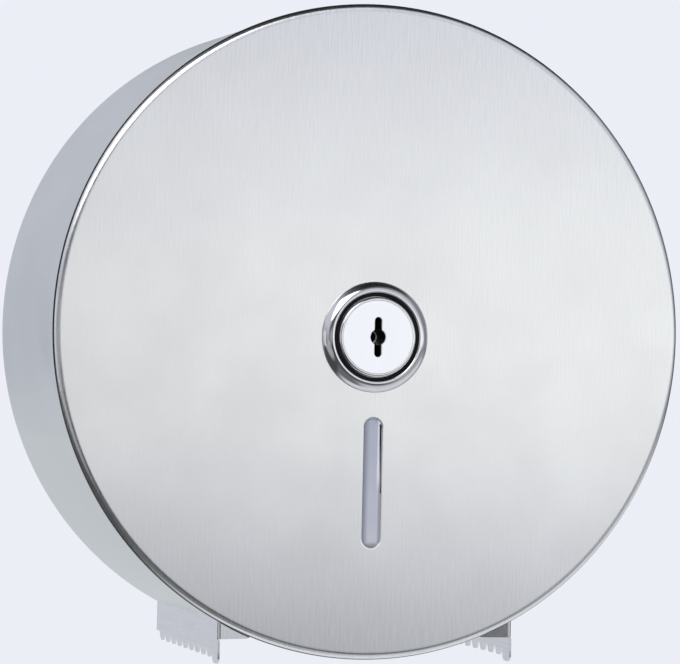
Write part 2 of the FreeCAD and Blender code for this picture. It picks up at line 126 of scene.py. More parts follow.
def corner_arc(before, corner, after, radius, count):
    """Places of an arc that rounds one corner between two straight runs."""
    corner = Vector(corner)
    to_before = (Vector(before) - corner).normalized()
    to_after = (Vector(after) - corner).normalized()
    half_angle = to_before.angle(to_after) / 2
    if radius <= 0 or half_angle > QUARTER - 0.001:
        return [tuple(corner)]
    setback = radius / math.tan(half_angle)
    start = corner + to_before * setback
    end = corner + to_after * setback
    middle = corner + (to_before + to_after).normalized() * (radius / math.sin(half_angle))
    reach = start - middle
    turn = math.pi - 2 * half_angle
    if reach.x * (end - middle).y - reach.y * (end - middle).x < 0:
        turn = -turn
    points = []
    for step in range(count + 1):
        part = turn * step / count
        points.append((
            middle.x + reach.x * math.cos(part) - reach.y * math.sin(part),
            middle.y + reach.x * math.sin(part) + reach.y * math.cos(part),
        ))
    return points


def rounded(corners, radii, count=6, closed=True):
    """Outline with each corner rounded by its own radius; an open one keeps its two ends."""
    points = []
    total = len(corners)
    for index in range(total):
        if not closed and index in (0, total - 1):
            points.append(tuple(corners[index]))
            continue
        after = corners[(index + 1) % total]
        points += corner_arc(corners[index - 1], corners[index], after, radii[index], count)
    return points


def panel(low_x, high_x, low_z, high_z, radius):
    """Rectangle with rounded corners."""

    def grown(extra):
        corners = [
            (low_x - extra, low_z - extra), (high_x + extra, low_z - extra),
            (high_x + extra, high_z + extra), (low_x - extra, high_z + extra),
        ]
        return rounded(corners, [radius + extra] * 4, 8)

    return grown


def quarter_bend(width, depth, start_y, steps):
    """Profile (growth, depth) of a quarter turn from a flat face out to the outline itself."""
    angles = [QUARTER * index / steps for index in range(steps + 1)]
    return [(width * (math.sin(a) - 1), start_y + depth * (1 - math.cos(a))) for a in angles]


def eased(front_y, back_y, ease, support, inward=1):
    """Profile (growth, depth) of an edge eased at both depths; inward is -1 for a solid outline.

    Support is the width of a flat rim beside the eased edge, which keeps the shading flat.
    """
    flat, width = inward * (ease + support), -inward * ease
    front = quarter_bend(width, ease, front_y, 4)
    back = quarter_bend(width, -ease, back_y, 4)
    return [(flat, front_y)] + front + back[::-1] + [(flat, back_y)]


# Mesh helpers


def add_object(name, mesh_data):
    """Turns a bmesh into an object in the scene, with its faces outwards."""
    bmesh.ops.recalc_face_normals(mesh_data, faces=mesh_data.faces)
    mesh = bpy.data.meshes.new(name)
    mesh_data.to_mesh(mesh)
    mesh_data.free()
    item = bpy.data.objects.new(name, mesh)
    bpy.context.scene.collection.objects.link(item)
    return item


def dress(piece, surface):
    """Gives a piece or a CAD node one material."""
    piece.data.materials.clear()
    piece.data.materials.append(surface.material)
    for polygon in piece.data.polygons:
        polygon.material_index = 0


def make_piece(node, body, look, mesh_data, name=None, bevel=0.0):
    """Smooth piece on a body; it stands for one CAD node, which it hides, and wears one material.
    """
    bmesh.ops.remove_doubles(mesh_data, verts=mesh_data.verts, dist=0.002 * MM)
    piece = add_object(name or node + "_look", mesh_data)
    piece.data.shade_smooth()
    if bevel:
        ease = piece.modifiers.new("ease", "BEVEL")
        ease.width = bevel
        ease.segments = 2
        ease.limit_method = "ANGLE"
        ease.angle_limit = math.radians(45.0)
    else:
        piece.data.set_sharp_from_angle(angle=math.radians(35.0))
    smooth = piece.modifiers.new("smooth", "WEIGHTED_NORMAL")
    smooth.keep_sharp = True
    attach(piece, body)
    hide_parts(node)
    dress(piece, look)
    return piece


def add_rings(mesh_data, rings, closed=True):
    """Joins rings of places with quads; a closed ring meets its own start."""
    loops = [[mesh_data.verts.new(place) for place in ring] for ring in rings]
    for first, second in zip(loops, loops[1:]):
        count = len(first)
        for index in range(count if closed else count - 1):
            after = (index + 1) % count
            mesh_data.faces.new((first[index], first[after], second[after], second[index]))
    return loops


def add_outline(mesh_data, grown, profile):
    """Rings of an outline, grown by the first value and set at the depth of the second."""
    return add_rings(mesh_data, [[(x, y, z) for x, z in grown(extra)] for extra, y in profile])


def add_flat(mesh_data, loops):
    """Flat faces inside the first loop and outside the others."""
    places = [[Vector((vert.co.x, vert.co.z, 0.0)) for vert in loop] for loop in loops]
    flat = [vert for loop in loops for vert in loop]
    for triangle in tessellate_polygon(places):
        mesh_data.faces.new([flat[index] for index in triangle])


def plate(node, body, look, outer, profile, holes=(), name=None):
    """Plate across Y: an outer outline with its profile, and holes with theirs."""
    mesh_data = bmesh.new()
    edges = [add_outline(mesh_data, grown, edge) for grown, edge in [(outer, profile), *holes]]
    for end in (0, -1):
        add_flat(mesh_data, [loops[end] for loops in edges])
    return make_piece(node, body, look, mesh_data, name)


def turned(
    node, body, look, outline, centre_z=0.0, segments=BIG_ROUND, start=0.0, sweep=FULL_TURN,
    shape=None, places=None, name=None,
):
    """Piece turned about Y from an outline of (radius, depth), at one or more places (x, z).

    The outline closes on itself, or runs from axis to axis. Angles run from +Z towards +X.
    A shape function of (radius, angle, depth) may change the radius.
    """
    whole = sweep >= FULL_TURN
    solid = outline[0][0] == outline[-1][0] == 0
    mesh_data = bmesh.new()
    for centre_x, middle_z in places or ((0.0, centre_z),):
        rings = []
        for radius, depth in list(outline) + ([] if solid else [outline[0]]):
            ring = []
            for index in range(segments if whole else segments + 1):
                angle = start + sweep * index / segments
                reach = shape(radius, angle, depth) if shape else radius
                ring.append(
                    (centre_x + reach * math.sin(angle), depth, middle_z + reach * math.cos(angle))
                )
            rings.append(ring)
        loops = add_rings(mesh_data, rings, whole)
        if not whole:
            for end in (0, -1):
                mesh_data.faces.new([loop[end] for loop in loops[:-1]])
    return make_piece(node, body, look, mesh_data, name)


def bent_sheet(node, body, look, cells, bevel):
    """Sheet metal from four-cornered cells; each corner is a pair of places, one on each side."""
    mesh_data = bmesh.new()
    known, edges = {}, {}
    for cell in cells:
        corners = []
        for front, back in cell:
            key = tuple(round(value, 7) for value in front)
            if key not in known:
                known[key] = (mesh_data.verts.new(front), mesh_data.verts.new(back))
            corners.append(key)
        for side in (0, 1):
            mesh_data.faces.new([known[key][side] for key in corners])
        for index in range(4):
            pair = frozenset((corners[index - 1], corners[index]))
            edges[pair] = edges.get(pair, 0) + 1
    for pair, uses in edges.items():
        if uses == 1:
            first, second = (known[key] for key in pair)
            mesh_data.faces.new((first[0], second[0], second[1], first[1]))
    return make_piece(node, body, look, mesh_data, bevel=bevel)


# Shader nodes


class Nodes:
    """Short way to add and join the nodes of one tree."""

    def __init__(self, tree):
        self.tree = tree

    def add(self, kind):
        return self.tree.nodes.new("ShaderNode" + kind)

    def give(self, target, value):
        """Links a socket, or sets it to a constant; a colour is three numbers."""
        if isinstance(value, bpy.types.NodeSocket):
            self.tree.links.new(value, target)
        else:
            target.default_value = (*value, 1.0) if target.type == "RGBA" else value

    def math(self, operation, *values):
        node = self.add("Math")
        node.operation = operation
        for socket, value in zip(node.inputs, values):
            self.give(socket, value)
        return node.outputs[0]

    def chain(self, operation, result, *others):
        """One value from several, taken two at a time."""
        for value in others:
            result = self.math(operation, result, value)
        return result

    def length(self, first, second):
        squares = [self.math("MULTIPLY", value, value) for value in (first, second)]
        return self.math("SQRT", self.math("ADD", *squares))

    def split(self, vector):
        node = self.add("SeparateXYZ")
        self.give(node.inputs[0], vector)
        return node.outputs

    def noise(self, vector, scale, detail=3.0, roughness=0.5):
        node = self.add("TexNoise")
        self.give(node.inputs["Vector"], vector)
        for name, value in (("Scale", scale), ("Detail", detail), ("Roughness", roughness)):
            node.inputs[name].default_value = value
        return node.outputs["Fac"]

    def spread(self, value, from_low, from_high, to_low=0.0, to_high=1.0, smooth=False):
        """Maps one range onto another and holds its ends."""
        node = self.add("MapRange")
        if smooth:
            node.interpolation_type = "SMOOTHSTEP"
        self.give(node.inputs["Value"], value)
        limits = (from_low, from_high, to_low, to_high)
        for name, limit in zip(("From Min", "From Max", "To Min", "To Max"), limits):
            node.inputs[name].default_value = limit
        return node.outputs[0]

    def fade(self, value, first, last, top=1.0):
        """Soft rise from 0 at the first value to the top at the last."""
        return self.spread(value, first, last, 0.0, top, True)

    def swing(self, noise, middle, reach):
        """Spreads a noise evenly round a middle value."""
        return self.spread(noise, 0.3, 0.7, middle - reach, middle + reach)

    def mix(self, factor, first, second, kind="Color"):
        """Mix of two colours, or of two numbers where the kind is Float."""
        node = self.add("Mix")
        node.data_type = "RGBA" if kind == "Color" else "FLOAT"
        sockets = {socket.identifier: socket for socket in node.inputs}
        for name, value in (("Factor_Float", factor), ("A_" + kind, first), ("B_" + kind, second)):
            self.give(sockets[name], value)
        return next(item for item in node.outputs if item.identifier == "Result_" + kind)


class Surface(Nodes):
    """Nodes of a material with one Principled shader."""

    def __init__(self, name):
        self.material = bpy.data.materials.new(name)
        self.material.use_nodes = True
        super().__init__(self.material.node_tree)
        self.tree.nodes.clear()
        self.output = self.add("OutputMaterial")
        self.shader = self.add("BsdfPrincipled")
        self.give(self.output.inputs["Surface"], self.shader.outputs["BSDF"])
        self.place = self.add("TexCoord").outputs["Object"]

    def set(self, **values):
        for name, value in values.items():
            self.give(self.shader.inputs[name.replace("_", " ")], value)

    def bump(self, height, strength, distance):
        node = self.add("Bump")
        node.inputs["Strength"].default_value = strength
        node.inputs["Distance"].default_value = distance
        self.give(node.inputs["Height"], height)
        self.set(Normal=node.outputs["Normal"])

    def brushed(self, amount, axis, rotation=0.0):
        """Gloss drawn out across the brushing, along the turn about one axis."""
        tangent = self.add("Tangent")
        tangent.direction_type = "RADIAL"
        tangent.axis = axis
        self.set(Tangent=tangent.outputs[0], Anisotropic=amount, Anisotropic_Rotation=rotation)

    def polar(self):
        """Angle about Y, depth and radius of a place."""
        x, y, z = self.split(self.place)
        return self.math("ARCTAN2", x, z), y, self.length(x, z)


def steel(
    name, dark, light, grain, roughness, grain_depth, smudge=0.05, around=None, brushing=None,
):
    """Worked steel: grain is the noise scale per metre on each axis, small along the marks.

    Around is a radius: the grain is then set by (arc, depth, radius) about Y.
    """
    look = Surface(name)
    place = look.place
    if around:
        angle, y, radius = look.polar()
        node = look.add("CombineXYZ")
        for socket, value in zip(node.inputs, (look.math("MULTIPLY", angle, around), y, radius)):
            look.give(socket, value)
        place = node.outputs[0]

    def marks(finer, detail, rough):
        node = look.add("Mapping")
        look.give(node.inputs["Vector"], place)
        node.inputs["Scale"].default_value = [value * finer for value in grain]
        return look.noise(node.outputs[0], 1.0, detail, rough)

    streaks, fine = marks(1.0, 4.0, 0.62), marks(2.7, 2.0, 0.5)
    cloud = look.noise(look.place, 26.0, 3.0, 0.55)
    tone = look.math(
        "ADD", look.math("MULTIPLY", streaks, 0.75), look.math("MULTIPLY", cloud, 0.25)
    )
    look.set(
        Base_Color=look.mix(look.spread(tone, 0.36, 0.64), dark, light),
        Roughness=look.math(
            "ADD", look.swing(streaks, roughness, 0.03), look.swing(cloud, 0.0, smudge / 2)
        ),
        Metallic=1.0,
    )
    if brushing:
        look.brushed(*brushing)
    look.bump(look.math("MULTIPLY_ADD", fine, 0.5, streaks), 0.3, grain_depth)
    return look


def paint_seam_shade(look, least_radius, first_y, full_y):
    """Darkens a worked steel outside a radius, from one depth to another: painted shade along the
    joint of the disc's lip and the band.
    """
    _, y, radius = look.polar()
    outside = look.spread(radius, least_radius - 0.2 * MM, least_radius)
    seam_shade = look.math("MULTIPLY", outside, look.fade(y, first_y, full_y))
    metal = look.shader.inputs["Base Color"].links[0].from_socket
    look.set(Base_Color=look.mix(seam_shade, metal, (0.06, 0.06, 0.065)))


def plastic(name, colour, speckle, roughness, grain=900.0, grain_depth=0.01 * MM, gloss=0.5):
    """Moulded plastic or rubber with a faint tone change and a fine surface."""
    look = Surface(name)
    patches = look.noise(look.place, 60.0)
    fine = look.noise(look.place, grain, 2.0)
    look.set(
        Base_Color=look.mix(look.spread(patches, 0.3, 0.7), colour, speckle),
        Roughness=look.swing(fine, roughness, 0.03),
        IOR=1.49, Specular_IOR_Level=gloss,
    )
    look.bump(fine, 0.3, grain_depth)
    return look


# Materials

face_metal = steel(
    "brushed_face", (0.755, 0.765, 0.78), (0.875, 0.883, 0.893), (1000.0, 1000.0, 80.0),
    0.22, 0.014 * MM, brushing=(0.85, "Z"),
)
band_metal = steel(
    "satin_band", (0.775, 0.82, 0.84), (0.835, 0.875, 0.89), (14.0, 1400.0, 14.0),
    0.33, 0.004 * MM, around=drum_radius, brushing=(0.6, "Y", 0.25),
)
# Painted shade on the back of the disc's lip and on the band just behind it, where the two meet.
paint_seam_shade(face_metal, drum_radius - 0.9 * MM, face_y + 1.0 * MM, face_y + 1.6 * MM)
paint_seam_shade(band_metal, drum_radius - 1.2 * MM, disc_high.y + 2.4 * MM, disc_high.y + 1.0 * MM)
bar_metal = steel(
    "tear_bar_steel", (0.68, 0.70, 0.72), (0.78, 0.79, 0.81), (900.0, 50.0, 900.0),
    0.17, 0.006 * MM,
)
plate_metal = steel(
    "rolled_plate", (0.50, 0.51, 0.52), (0.60, 0.61, 0.62), (700.0, 700.0, 30.0),
    0.40, 0.02 * MM, smudge=0.12,
)
spindle_metal = steel(
    "turned_steel", (0.55, 0.56, 0.57), (0.66, 0.67, 0.68), (60.0, 2200.0, 60.0),
    0.28, 0.01 * MM,
)
fastener_metal = steel(
    "zinc_fastener", (0.56, 0.58, 0.60), (0.68, 0.70, 0.72), (500.0, 500.0, 500.0),
    0.30, 0.01 * MM,
)
dark_metal = steel(
    "black_spring_steel", (0.035, 0.035, 0.04), (0.08, 0.08, 0.085), (400.0, 400.0, 400.0),
    0.38, 0.01 * MM,
)
nickel_metal = steel(
    "satin_nickel", (0.52, 0.51, 0.48), (0.62, 0.60, 0.57), (300.0, 300.0, 300.0),
    0.30, 0.01 * MM,
)
chrome_metal = steel(
    "collar_chrome", (0.71, 0.71, 0.74), (0.77, 0.77, 0.79), (220.0, 220.0, 220.0),
    0.10, 0.002 * MM, smudge=0.02,
)
ward_metal = steel(
    "ward_steel", (0.74, 0.75, 0.76), (0.84, 0.85, 0.86), (400.0, 900.0, 400.0),
    0.22, 0.003 * MM,
)
cap_plastic = plastic("white_cap", (0.89, 0.895, 0.90), (0.91, 0.915, 0.92), 0.30)
core_plastic = plastic(
    "black_core", (0.004, 0.004, 0.005), (0.008, 0.008, 0.009), 0.45, gloss=0.15,
)
seal_rubber = plastic(
    "black_seal", (0.004, 0.004, 0.005), (0.009, 0.009, 0.010), 0.55, 1500.0, 0.03 * MM,
    gloss=0.15,
)
hub_plastic = plastic(
    "grey_hub", (0.085, 0.09, 0.10), (0.11, 0.115, 0.125), 0.48, 1800.0, 0.04 * MM,
)
nylon = plastic("natural_nylon", (0.68, 0.66, 0.60), (0.74, 0.72, 0.67), 0.42)


def window_plastic():
    """Translucent grey strip, bluer towards the top, that lets a little light through.

    Its colour holds a painted highlight along the right, and painted shade along the left, at the
    foot and at the lower right.
    """
    look = Surface("window_acrylic")
    x, _, z = look.split(look.place)
    haze = look.noise(look.place, 120.0)
    height = look.spread(z, window_low.z, window_high.z)
    tone = look.math(
        "ADD", look.math("MULTIPLY", haze, 0.35), look.math("MULTIPLY", height, 0.65)
    )
    along = look.math("MULTIPLY_ADD", z, -0.005, x)
    lower = look.fade(z, -67.0 * MM, -77.0 * MM)
    # Painted highlight: a pale line along the right edge, fading out over the lower part.
    pale = look.math(
        "MULTIPLY", look.fade(along, 2.4 * MM, 3.2 * MM, 0.75),
        look.math("MULTIPLY_ADD", lower, -0.85, 1.0),
    )
    # Painted shade along the left edge, at the foot, and as a dark line at the lower right.
    shade = look.chain(
        "MAXIMUM", look.fade(along, -0.6 * MM, -3.6 * MM, 0.8),
        look.fade(z, window_low.z + 7.2 * MM, window_low.z + 4.6 * MM, 0.8),
        look.math("MULTIPLY", lower, look.fade(along, 3.0 * MM, 4.4 * MM, 0.75)),
    )
    grey = look.mix(tone, (0.58, 0.58, 0.61), (0.36, 0.39, 0.50))
    # The dark grey is the colour of the painted shade, the near-white that of the painted
    # highlight.
    look.set(
        Base_Color=look.mix(pale, look.mix(shade, grey, (0.25, 0.26, 0.30)), (0.86, 0.86, 0.88)),
        Roughness=look.swing(haze, 0.18, 0.04),
        IOR=1.49,
        Transmission_Weight=0.1,
    )
    look.bump(haze, 0.2, 0.03 * MM)
    return look


# Cover pieces


def build_front_disc():
    bend, bend_depth, steps = 3.4 * MM, 2.7 * MM, 16
    edge, support = 0.22 * MM, 0.6 * MM
    back_y, lip_y = face_y + sheet, disc_high.y
    inside = quarter_bend(bend - sheet, bend_depth - sheet, back_y, steps)[-2::-1]
    profile = [
        (-bend - support, face_y), *quarter_bend(bend, bend_depth, face_y, steps),
        (0.0, lip_y - edge), (-edge, lip_y), (edge - sheet, lip_y), (-sheet, lip_y - edge),
        *((grow - sheet, y) for grow, y in inside), (-bend - support, back_y),
    ]
    top_z, bottom_z = window_high.z - window_margin - 0.9 * MM, window_low.z + window_margin
    slot = stadium(9.2 * MM, top_z, bottom_z, 0.05 * MM)
    holes = [
        (circle(lock_hole_r, lock_z, SMALL_ROUND), eased(face_y, back_y, 0.1 * MM, support)),
        (slot, eased(face_y, back_y, 0.3 * MM, support)),
    ]
    plate("front_disc", "cover", face_metal, circle(drum_radius), profile, holes)


def build_side_band():
    outer = drum_radius - sheet
    inner = outer - sheet
    edge = 0.2 * MM
    front_y = disc_high.y - 1.0 * MM
    outline = rounded(
        [(outer, front_y), (outer, band_high.y), (inner, band_high.y), (inner, front_y)],
        [0.0, edge, edge, 0.0], 3,
    )
    reach = math.pi - math.asin(blade_outer_x / outer)
    turned("side_band", "cover", band_metal, outline, start=-reach, sweep=2 * reach)


# Radius and height above the face, in millimetres, from the outer foot to the opening
COLLAR_CURVE = (
    (26.2, 0.0), (26.15, 0.5), (25.8, 1.2), (25.1, 1.95), (24.2, 2.6), (23.3, 3.08),
    (22.7, 3.3), (22.2, 3.4), (21.8, 3.43), (21.4, 3.4), (21.12, 3.28), (20.94, 3.05),
    (20.86, 2.7), (20.85, 2.0),
)


def flowing(corners, count):
    """Smooth line through places, each span cut into a count of parts."""
    line = []
    for index in range(len(corners) - 1):
        before = Vector(corners[max(index - 1, 0)])
        first, second = Vector(corners[index]), Vector(corners[index + 1])
        after = Vector(corners[min(index + 2, len(corners) - 1)])
        for step in range(count):
            part = step / count
            place = 0.5 * (
                2 * first + (second - before) * part
                + (2 * before - 5 * first + 4 * second - after) * part**2
                + (3 * first - before - 3 * second + after) * part**3
            )
            line.append(tuple(place))
    return line + [tuple(corners[-1])]


def build_lock():
    opening_r, step_y = COLLAR_CURVE[-1][0] * MM, face_y - 1.0 * MM
    outline = [(lock_hole_r, face_y)]
    outline += flowing([(radius * MM, face_y - rise * MM) for radius, rise in COLLAR_CURVE], 6)
    outline += [(opening_r, step_y), (lock_hole_r, step_y)]
    turned("lock_collar", "cover", chrome_metal, outline, lock_z)

    seal_in, front_r = cap_high.x + 0.3 * MM, 0.4 * MM
    corners = [
        (seal_in, seal_high.y), (opening_r, seal_high.y), (opening_r, seal_low.y),
        (seal_in, seal_low.y),
    ]
    outline = rounded(corners, [0.0, 0.0, front_r, front_r])
    turned("lock_seal_ring", "cover", seal_rubber, outline, lock_z, name="lock_seal_look")

    hole = keyhole(3.9 * MM, 3.8 * MM, 19.0 * MM, lock_z)
    disc_r, rim_in, rim_out = 17.3 * MM, 17.42 * MM, cap_high.x
    front_y = cap_low.y
    back_y, rim_y = front_y + 1.4 * MM, front_y + 0.35 * MM
    plate(
        "lock_face_cap", "lock", cap_plastic, circle(disc_r, lock_z),
        eased(front_y, back_y, 0.25 * MM, 0.5 * MM, -1),
        [(hole, eased(front_y, back_y, 0.15 * MM, 0.4 * MM))], "lock_face_look",
    )
    corners = [(rim_in, cap_high.y), (rim_out, cap_high.y), (rim_out, rim_y), (rim_in, rim_y)]
    outline = rounded(corners, [0.0, 0.0, 1.0 * MM, 0.12 * MM], 10)
    rim = turned("lock_face_cap", "lock", chrome_metal, outline, lock_z, name="lock_face_rim")

    ward_out, ward_in, dish = ward_high.x, ward_high.x - 0.8 * MM, 0.15 * MM
    corners = [
        (ward_in, ward_high.y), (ward_out, ward_high.y), (ward_out, ward_low.y),
        (ward_in, ward_low.y + dish),
    ]
    outline = rounded(corners, [0.0, 0.0, 0.08 * MM, 0.08 * MM], 4)
    turned(
        "keyhole_ward_ring", "lock", ward_metal, outline, lock_z, 64, name="keyhole_ward_look"
    )


def build_window():
    """Strip behind the slot, with a crowned boss that fills the slot and a thin slit beside it."""
    boss_front, strip_front, back = window_low.y, face_y + sheet, window_high.y
    gap, crown = 0.45 * MM, 2.4 * MM
    top_z = window_high.z - window_margin - gap - 0.8 * MM
    boss = stadium(7.8 * MM, top_z, window_low.z + window_margin + gap, -0.38 * MM, -0.08 * MM)
    slit_foot_z = top_z - 35.0 * MM
    slit_corners = [
        (3.35 * MM, top_z - 2.6 * MM), (4.75 * MM, top_z - 1.9 * MM),
        (4.75 * MM, slit_foot_z), (4.15 * MM, slit_foot_z),
    ]
    slit = rounded(slit_corners, [0.5 * MM, 0.5 * MM, 0.25 * MM, 0.25 * MM], 5)
    profile = [(-crown - 0.5 * MM, boss_front)]
    profile += quarter_bend(crown, strip_front - boss_front, boss_front, 8)
    strip = panel(window_low.x, window_high.x, window_low.z, window_high.z, 1.5 * MM)
    mesh_data = bmesh.new()
    boss_loops = add_outline(mesh_data, boss, profile)
    strip_loops = add_outline(mesh_data, strip, eased(strip_front, back, 0.2 * MM, 0.3 * MM, -1))
    slit_loops = add_outline(mesh_data, lambda _: slit, [(0.0, strip_front), (0.0, back)])
    add_flat(mesh_data, [boss_loops[0]])
    add_flat(mesh_data, [strip_loops[0], boss_loops[-1], slit_loops[0]])
    add_flat(mesh_data, [strip_loops[-1], slit_loops[-1]])
    make_piece("view_window", "cover", window_plastic(), mesh_data)


# Tear bars, each bent from one sheet: a toothed blade, a leg along the band and a tab

bar_sheet = 1.0 * MM
blade_x = blade_outer_x - bar_sheet / 2
tooth_pitch = 11.0 * MM
root_z = -150.25 * MM
tip_z = -154.35 * MM
tab_drop_z = -144.95 * MM
tab_rise_z = -126.95 * MM
tab_length = 16.4 * MM
tab_lean = math.radians(8.0)
leg_back_y = -11.3 * MM
bar_bend = 0.8 * MM


def toothed_edge(front_y, back_y):
    """Lower edge of a blade from front to back, as places (depth, height)."""
    tip_share, root_share = 0.42, 0.20
    tip_half, root_half = tooth_pitch * tip_share / 2, tooth_pitch * root_share / 2
    horn_back = front_y + 10.0 * MM
    tip_r, root_r, first_root_r = 2.2 * MM, 1.5 * MM, 0.9 * MM
    corners = [(front_y, root_z), (front_y, bar_low.z), (horn_back - root_half, bar_low.z)]
    corners.append((horn_back, root_z))
    radii = [0.0, 3.0 * MM, 3.0 * MM, 0.5 * MM]
    for index in range(int((back_y - horn_back) / tooth_pitch)):
        start_y = horn_back + tooth_pitch * index
        tip_y = start_y + tooth_pitch / 2
        corners += [(start_y + root_half, root_z), (tip_y - tip_half, tip_z)]
        corners += [(tip_y + tip_half, tip_z), (start_y + tooth_pitch - root_half, root_z)]
        radii += [root_r if index else first_root_r, tip_r, tip_r, root_r]
    return rounded(corners + [(back_y, root_z)], radii + [0.0], 5, closed=False)[1:]


def height_at(line, y):
    """Height of a line of places (depth, height) at one depth."""
    for (y_a, z_a), (y_b, z_b) in zip(line, line[1:]):
        if y_a <= y <= y_b:
            return z_a + (z_b - z_a) * (y - y_a) / max(y_b - y_a, 1e-9)
    return line[-1][1]


def thick_line(line):
    """Pairs of places on both sides of the bar's centre line."""
    pairs = []
    for index, place in enumerate(line):
        before = Vector(line[max(index - 1, 0)])
        after = Vector(line[min(index + 1, len(line) - 1)])
        run = (after - before).normalized()
        step = Vector((-run.y, run.x)) * bar_sheet / 2
        pairs.append((Vector(place) + step, Vector(place) - step))
    return pairs


def leg_line():
    """Centre line (x, z) of the leg, along the band and round its bend into the blade."""
    leg_r = drum_radius - 2 * sheet - bar_sheet / 2
    corner_angle = math.asin(blade_x / leg_r)
    end_angle = math.asin(bar_high.x / leg_r)
    start_angle = corner_angle + 0.5 * MM / leg_r
    corner = (blade_x, -leg_r * math.cos(corner_angle))
    line = []
    for index in range(7):
        angle = end_angle + (start_angle - end_angle) * index / 7
        line.append((leg_r * math.sin(angle), -leg_r * math.cos(angle)))
    return line + corner_arc(line[-1], corner, (blade_x, corner[1] - 5 * MM), bar_bend, 5)


def blade_cells(fold_y, leg_pairs, fixed_z):
    """Cells of the leg and the blade; in front of the fold only the rows below the tab are kept."""
    lower = toothed_edge(bar_low.y, bar_high.y)
    depths = sorted({y for y, _ in lower} | {fold_y, leg_back_y})
    half, slack = bar_sheet / 2, 1e-7

    def column(y):
        """Places at one depth, from the leg's end down to the teeth."""
        last_z, low = fixed_z[-1], height_at(lower, y)
        heights = fixed_z[1:] + [last_z + (low - last_z) * part / 3 for part in (1, 2, 3)]
        places = [((a.x, y, a.y), (b.x, y, b.y)) for a, b in leg_pairs]
        return places + [((blade_x + half, y, z), (blade_x - half, y, z)) for z in heights]

    top_row = len(leg_pairs) - 1
    relief_row = top_row + len(fixed_z) - 1
    cells = []
    for y_a, y_b in zip(depths, depths[1:]):
        first, second = column(y_a), column(y_b)
        begin = 0 if y_b <= leg_back_y + slack else top_row
        if y_b <= fold_y + slack:
            begin = relief_row
        for row in range(begin, len(first) - 1):
            cells.append((first[row], first[row + 1], second[row + 1], second[row]))
    return cells


def tab_cells(fold_y, fixed_z):
    """Cells of the front tab and the fold that joins it to the blade."""
    corner = (blade_x, bar_low.y + bar_sheet / 2)
    tip = Vector(
        (blade_x - tab_length * math.cos(tab_lean), corner[1] + tab_length * math.sin(tab_lean))
    )
    fold = corner_arc((blade_x, corner[1] + 5 * MM), corner, tip, bar_bend, 5)
    reach, round_r = tip - Vector(fold[-1]), 2.5 * MM
    run = reach.length
    stops = [0.6 * MM, 5.0 * MM, 10.0 * MM]
    stops += [run - left for left in (round_r, 1.4 * MM, 0.7 * MM, 0.2 * MM, 0.0)]
    path = [(blade_x, fold_y)] + fold
    bend_count = len(path)
    path += [tuple(Vector(fold[-1]) + reach.normalized() * stop) for stop in stops]

    tab_pairs = thick_line(path)
    tab_pairs[0] = (Vector((blade_outer_x, fold_y)), Vector((blade_outer_x - bar_sheet, fold_y)))
    rows = [tab_rise_z, -130.0 * MM, -133.0 * MM] + fixed_z[:4]
    columns = []
    for place, (a, b) in zip(path, tab_pairs):
        left = (tip - Vector(place)).length
        inset = round_r - math.sqrt(round_r**2 - max(round_r - left, 0.0) ** 2)
        heights = [rows[0] - inset] + rows[1:-1] + [rows[-1] + inset]
        columns.append([((a.x, a.y, z), (b.x, b.y, z)) for z in heights])
    cells = []
    for index, (first, second) in enumerate(zip(columns, columns[1:])):
        for row in range(3 if index < bend_count else 0, len(rows) - 1):
            cells.append((first[row], first[row + 1], second[row + 1], second[row]))
    return cells


def build_tear_bar(side, node):
    line = leg_line()
    leg_pairs = thick_line(line + [(blade_x, line[-1][1] - 1.0 * MM)])[:-1]
    fixed_z = [line[-1][1], -138.0 * MM, -141.0 * MM, tab_drop_z, tab_drop_z - 0.5 * MM]
    fold_y = bar_low.y + 1.5 * MM
    cells = blade_cells(fold_y, leg_pairs, fixed_z) + tab_cells(fold_y, fixed_z)
    if side < 0:
        cells = [tuple(tuple((-x, y, z) for x, y, z in pair) for pair in cell) for cell in cells]
    bent_sheet(node, "cover", bar_metal, cells, 0.12 * MM)


build_front_disc()
build_side_band()
build_lock()
build_window()
build_tear_bar(-1, "left_tear_bar")
build_tear_bar(1, "right_tear_bar")


# Pieces inside the drum and behind the disc

RING_SPLIT = math.radians(32.0)
SPLIT_RING = {"start": RING_SPLIT / 2 - math.pi, "sweep": FULL_TURN - RING_SPLIT}


def inner_ring(node, body, look, inner, ease=0.15 * MM, **options):
    """Ring with eased corners that stands for a node; all but the bore is read from the frame."""
    low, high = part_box(node)
    corners = [(inner, low.y), (high.x, low.y), (high.x, high.y), (inner, high.y)]
    outline = rounded(corners, [ease] * 4, 3)
    turned(node, body, look, outline, lock_z, SMALL_ROUND, **options)


def thread_line(wall_r, pitch, first_y, last_y, parts_per_turn):
    """Places (radius, depth) along a wall, close enough together to carry a thread."""
    steps = int((last_y - first_y) / pitch * parts_per_turn)
    return [(wall_r, first_y + (last_y - first_y) * index / steps) for index in range(steps + 1)]


def threaded(wall_r, pitch, depth, first_y, last_y):
    """Shape function that cuts a helical thread into a wall between two depths."""

    def shape(radius, angle, y):
        on_wall = abs(radius - wall_r) <= 0.01 * MM
        if not on_wall or not first_y <= y <= last_y:
            return radius
        turn_share = ((y - first_y) / pitch - angle / FULL_TURN) % 1.0
        run_out = min((y - first_y) / pitch, (last_y - y) / pitch, 1.0)
        return radius - depth * run_out * abs(2 * turn_share - 1)

    return shape


